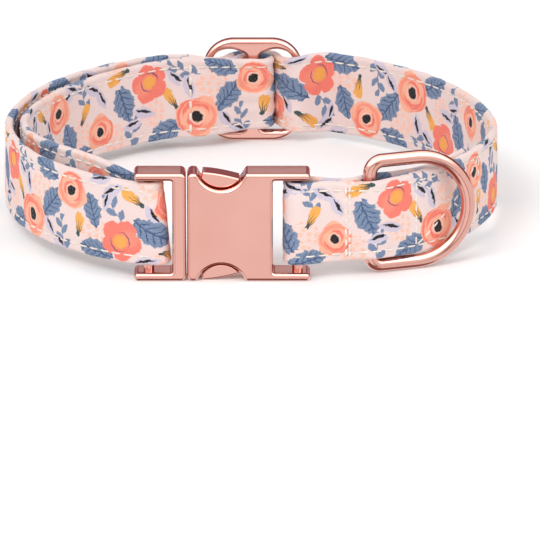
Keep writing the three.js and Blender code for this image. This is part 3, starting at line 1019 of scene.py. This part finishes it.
def tube(name, path, across, up, radii, closed, sides):
    """A tube of oval section along a path, closed into a ring or capped at both ends."""
    angles = np.linspace(0, 2 * math.pi, sides, endpoint=False)
    ring = (
        np.cos(angles)[None, :, None] * across[:, None] * radii[0]
        + np.sin(angles)[None, :, None] * up[:, None] * radii[1]
    )
    points = (path[:, None] + ring).reshape(-1, 3)
    faces = grid_faces(len(path), sides, closed).tolist()
    if not closed:
        last = (len(path) - 1) * sides
        faces += [list(range(sides))[::-1], [last + k for k in range(sides)]]
    obj = new_object(name, points, faces)
    merge_doubles(obj)
    return obj


def upright_bar(name, x):
    """The round bar that the strap folds over, let into the rails at both ends."""
    into_rail = RAIL * 0.4
    z = np.array([into_rail, BUCKLE_HEIGHT / 2, BUCKLE_HEIGHT - into_rail])
    path = np.column_stack([np.full(3, x), np.full(3, BAR_Y), z])
    across = np.tile([1.0, 0, 0], (3, 1))
    up = np.tile([0, 1.0, 0], (3, 1))
    return tube(name, path, across, up, (BAR_RADIUS, BAR_RADIUS), False, 24)


def join(name, *objects):
    """One object made of several, in the first one's place."""
    bpy.ops.object.select_all(action="DESELECT")
    for obj in objects:
        obj.select_set(True)
    bpy.context.view_layer.objects.active = objects[0]
    bpy.ops.object.join()
    objects[0].name = name
    return objects[0]


def build_plug():
    left, right, mouth = PLUG["left"], PLUG["right"], PLUG["mouth"]
    top = BUCKLE_HEIGHT
    outline = corner_path([
        (left, 0, ARM_END_RADIUS), (right, 0, SHOULDER_RADIUS),
        (right, top, SHOULDER_RADIUS), (left, top, ARM_END_RADIUS),
        (left, top - RAIL, ARM_END_RADIUS), (mouth, top - RAIL, SLOT_RADIUS),
        (mouth, RAIL, SLOT_RADIUS), (left, RAIL, ARM_END_RADIUS),
    ])
    body = plate("plug_plate", [outline], BUCKLE_FRONT_Y, BUCKLE_DEPTH, EDGE_ROUNDING["buckle"])
    return join("plug", body, upright_bar("plug_bar", PLUG["bar"]))


def scoop_side(side):
    """Corners along one scooped side of the socket, from its left shoulder to its right arm."""
    middle = BUCKLE_HEIGHT / 2
    floor = middle - SCOOP["depth"]
    centre_z = floor + SCOOP["radius"]
    half_chord = math.sqrt(SCOOP["radius"] ** 2 - (middle - centre_z) ** 2)
    from_lip = 7  # the arc stops this many degrees before each lip
    spread = math.degrees(math.asin(half_chord / SCOOP["radius"])) - from_lip
    points = []
    for a in np.radians(np.linspace(-spread, spread, 19)):
        points.append((
            SCOOP["x"] + SCOOP["radius"] * math.sin(a),
            middle + side * (centre_z - SCOOP["radius"] * math.cos(a)),
            0,
        ))
    to_lip = half_chord + 0.25
    return [
        (SCOOP["x"] - to_lip, middle + side * middle, LIP_RADIUS),
        *points,
        (SCOOP["x"] + to_lip, middle + side * middle, LIP_RADIUS),
    ]


def build_socket():
    left, right, mouth = SOCKET["left"], SOCKET["right"], SOCKET["mouth"]
    top = BUCKLE_HEIGHT
    outline = corner_path([
        (left, 0, SHOULDER_RADIUS), *scoop_side(-1), (right, 0, ARM_END_RADIUS),
        (right, RAIL, ARM_END_RADIUS), (mouth, RAIL, SLOT_RADIUS),
        (mouth, top - RAIL, SLOT_RADIUS), (right, top - RAIL, ARM_END_RADIUS),
        (right, top, ARM_END_RADIUS), *scoop_side(1)[::-1], (left, top, SHOULDER_RADIUS),
    ])
    body = plate("socket_plate", [outline], BUCKLE_FRONT_Y, BUCKLE_DEPTH, EDGE_ROUNDING["buckle"])
    return join("socket", body, upright_bar("socket_bar", SOCKET["bar"]))


def build_button(side):
    """A leaf-shaped squeeze button in the upper (1) or lower (-1) scoop."""
    middle = BUCKLE_HEIGHT / 2
    centre_z = middle - SCOOP["depth"] + SCOOP["radius"]
    radius = SCOOP["radius"] - BUTTON["gap"]
    left, right = BUTTON["left"], BUTTON["right"]
    points = []
    for x in np.linspace(left, right, 15):
        points.append((x, centre_z - math.sqrt(radius ** 2 - (x - SCOOP["x"]) ** 2)))
    left += BUTTON["tip"]
    for share in np.linspace(1, 0, 15):
        x = left + (right - left) * share
        points.append((x, middle - BUTTON_TOP["slant"] * share ** BUTTON_TOP["curve"]))
    outline = [(x, middle + side * z) for x, z in points]
    name = "button_top" if side > 0 else "button_bottom"
    front_y = BAR_Y - BUTTON["depth"] / 2
    return plate(name, [outline], front_y, BUTTON["depth"], EDGE_ROUNDING["button"], 3)


def build_d_ring():
    lean = math.radians(DRING["lean"])
    reach = np.array([math.cos(lean), math.sin(lean), 0])
    rise = np.array([0, 0, 1.0])
    origin = np.array([DRING["x"], DRING["y"], DRING["z"]])
    half, corner, straight = DRING["half"], DRING["corner"], DRING["straight"]
    # The bow and the two corners: centre, radius, first and last direction, points.
    arcs = (
        (straight, 0, half, 90, -90, 48),
        (corner, corner - half, corner, -90, -180, 10),
        (corner, half - corner, corner, 180, 90, 10),
    )
    path = []
    across = []
    for u, v, radius, start, stop, steps in arcs:
        for a in np.radians(np.linspace(start, stop, steps)):
            outward = reach * math.cos(a) + rise * math.sin(a)
            path.append(origin + reach * u + rise * v + outward * radius)
            across.append(outward)
    up = np.tile(np.cross(reach, rise), (len(path), 1))
    return tube("d_ring_wire", np.array(path), np.array(across), up, DRING_WIRE, True, 28)


def build_slider():
    half, height, corner = SLIDER["width"] / 2, SLIDER["height"], SLIDER["corner"]
    outside = corner_path([
        (-half, 0, corner), (half, 0, corner), (half, height, corner), (-half, height, corner),
    ], 16)
    bottom, shoulder, peak = SLIDER_SLOT["bottom"], SLIDER_SLOT["shoulder"], SLIDER_SLOT["peak"]
    slots = []
    for side in (-1, 1):
        inner = side * SLIDER_SLOT["inner"]
        outer = side * SLIDER_SLOT["outer"]
        slots.append(corner_path([
            (inner, bottom, SLIDER_CORNER["inner"]),
            (outer, bottom, SLIDER_CORNER["outer"]),
            (outer, shoulder, SLIDER_CORNER["outer"]),
            ((inner + outer) / 2, peak, SLIDER_CORNER["peak"]),
            (inner, shoulder, SLIDER_CORNER["inner"]),
        ], 10))
    front_y = SLIDER_Y - SLIDER["depth"] / 2
    return plate("slider_frame", [outside, *slots], front_y, SLIDER["depth"], EDGE_ROUNDING["slider"], 6)


# ---- Making ----

cotton = cotton_material()
thread = thread_material()
polished = rose_gold_material("rose_gold", False)
satin = rose_gold_material("satin_rose_gold", True)

cloth = finish_piece(build_strap(), "collar", "printed_cotton", cotton, "strap")
stitches = finish_piece(build_stitches(), "collar", "printed_cotton", thread)

for build, body, material, node in (
    (build_plug, "collar", satin, "buckle_plug"),
    (build_socket, "collar", satin, "buckle_socket"),
    (lambda: build_button(1), "collar", satin, "release_button_top"),
    (lambda: build_button(-1), "collar", satin, "release_button_bottom"),
    (build_d_ring, "d_ring", polished, "d_ring"),
    (build_slider, "collar", polished, "slider"),
):
    piece = build()
    smooth_by_angle(piece)
    finish_piece(piece, body, "rose_gold", material, node)


# ---- Floor, light and camera ----

def build_floor():
    """A plain white floor. The metal shows the studio in its place."""
    size = 6.0
    corners = [(-size, -size, 0), (size, -size, 0), (size, size, 0), (-size, size, 0)]
    mesh = bpy.data.meshes.new("floor")
    mesh.from_pydata(corners, [], [(0, 1, 2, 3)])
    floor = add_object("floor", mesh)
    material, shader = start_material("white_floor")
    shader.inputs["Base Color"].default_value = (0.95, 0.95, 0.95, 1)
    shader.inputs["Roughness"].default_value = 0.9
    mesh.materials.append(material)
    floor.visible_glossy = False


WHITE_LIGHT = 0.84
GLOSS_FILL = 0.22
FRONT_FLOOR = (0.0, -0.947, -0.322)
# Darker parts of the studio that polished metal shows: the direction of each one's middle, the
# degrees from it between which it lies, and its colour.
STUDIO = [
    ((0.0, 0.947, 0.322), 0, 42, (152, 106, 114)),
    ((0.0, -0.2, -0.98), 0, 34, (150, 108, 104)),
    (FRONT_FLOOR, 28, 33, (104, 56, 50)),
    ((-0.75, 0.6, 0.28), 0, 20, (92, 52, 50)),
    ((0.72, 0.62, 0.3), 0, 22, (110, 66, 62)),
]
HIGHLIGHT = {"from": 0.3, "strength": 1.9}
FRONT_GLOW = {"reach": 24, "strength": 0.12}


def degrees_from(middle, x, y, z):
    """The angle between a direction and the direction of x, y, z."""
    cosine_of = x * middle[0] + y * middle[1] + z * middle[2]
    kept_in_range = clamp01(cosine_of * 0.5 + 0.5) * 2.0 - 1.0
    return calc("ARCCOSINE", kept_in_range) * (180 / math.pi)


def build_world():
    """White light for cloth and floor; in gloss, bright overhead panels between dark gaps."""
    world = bpy.data.worlds.new("studio")
    bpy.context.scene.world = world
    world.use_nodes = True
    Num.tree = world.node_tree
    background = world.node_tree.nodes["Background"]
    coordinates = new_node("TexCoord").outputs["Generated"]
    split = new_node("SeparateXYZ")
    link(coordinates, split.inputs[0])
    x, y, z = (Num(split.outputs[k]) for k in range(3))
    gloss = Num(new_node("LightPath").outputs["Is Glossy Ray"])
    sky = (255, 255, 255)
    for middle, nearest, furthest, colour in STUDIO:
        angle = degrees_from(middle, x, y, z)
        band = clamp01((angle - nearest) * 0.35 + 0.5) * clamp01((furthest - angle) * 0.25 + 0.5)
        sky = paint(sky, colour, band * gloss)
    link(sky, background.inputs["Color"])
    panel = clamp01((z - HIGHLIGHT["from"]) * 5.0) * clamp01(0.6 - y)
    from_front = degrees_from(FRONT_FLOOR, x, y, z)
    glow = clamp01((FRONT_GLOW["reach"] - from_front) * 0.25 + 0.5) * (1.0 + 0.5 * x)
    shine = GLOSS_FILL + panel * HIGHLIGHT["strength"] + glow * FRONT_GLOW["strength"]
    strength = WHITE_LIGHT + gloss * shine
    link(strength.socket, background.inputs["Strength"])


def add_area(name, location, size, watts):
    """A square lamp turned to the middle of the collar."""
    light = bpy.data.lights.new(name, "AREA")
    light.size = size
    light.energy = watts
    lamp = add_object(name, light)
    lamp.location = location
    aim = Vector(LIT_POINT) - Vector(location)
    lamp.rotation_euler = aim.to_track_quat("-Z", "Y").to_euler()


# Name, place and size in metres, power in watts.
LIT_POINT = (0, 0, 0.01)
LAMPS = [
    ("key", (-0.5, -0.9, 1.1), 0.6, 8),
    ("fill", (0.9, -0.6, 0.7), 0.8, 2.5),
]
CAMERA = {"elevation": 18.8, "distance": 2.5, "lens": 589.0, "aim": (5.1, -55.0, 3.3)}


def build_camera():
    data = bpy.data.cameras.new("camera")
    data.sensor_width = 36.0
    data.lens = CAMERA["lens"]
    data.clip_end = 50.0
    camera = add_object("camera", data)
    aim = Vector(place([CAMERA["aim"]])[0])
    tilt = math.radians(CAMERA["elevation"])
    away = Vector((0, -math.cos(tilt), math.sin(tilt)))
    camera.location = aim + away * CAMERA["distance"]
    camera.rotation_euler = (-away).to_track_quat("-Z", "Y").to_euler()
    bpy.context.scene.camera = camera


build_floor()
build_world()
for lamp in LAMPS:
    add_area(*lamp)
build_camera()
bpy.context.scene.view_settings.view_transform = "Standard"
